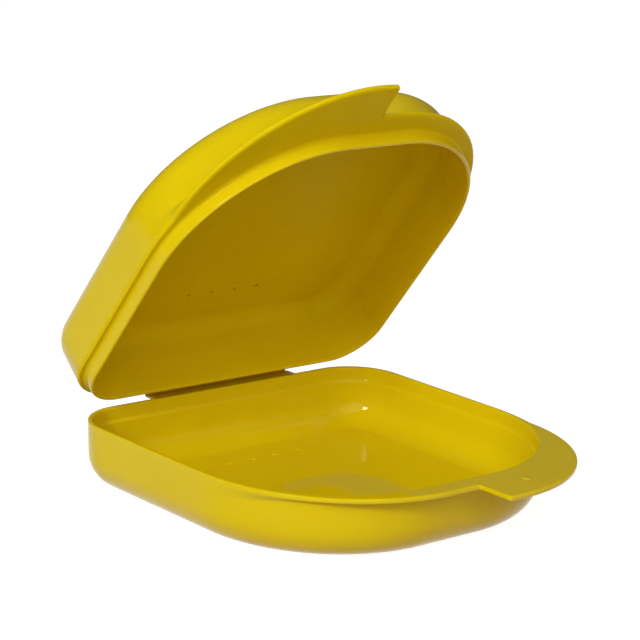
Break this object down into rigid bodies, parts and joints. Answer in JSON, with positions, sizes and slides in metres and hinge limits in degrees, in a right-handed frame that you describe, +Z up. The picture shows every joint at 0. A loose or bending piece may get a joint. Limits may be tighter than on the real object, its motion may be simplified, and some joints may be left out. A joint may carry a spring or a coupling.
{
  "type": "denture case",
  "caption": "Shallow rounded tray and matching lid, moulded in one piece with a living hinge strap, a sealing rim tongue, vent holes and offset thumb tabs.",
  "frame": {"origin": "middle of the tray's flat underside", "axes": "+X along the hinge, +Y towards the hinge, +Z up; the thumb tabs point to -Y"},
  "size_m": [0.08, 0.0967, 0.0863],
  "materials": {
    "moulding": "glossy yellow polypropylene, slightly translucent at thin edges"
  },
  "bodies": {
    "tray": {"base_tray": "moulding", "hinge_strap": "moulding"},
    "lid": {"lid": "moulding"}
  },
  "joints": [
    {"name": "lid_hinge", "type": "hinge", "parent": "tray", "child": "lid", "pos_m": [0, 0.0408, 0.0138], "axis": [-1, 0, 0], "range_deg": [-52.5, 127.5], "deforming": ["hinge_strap"]}
  ]
}
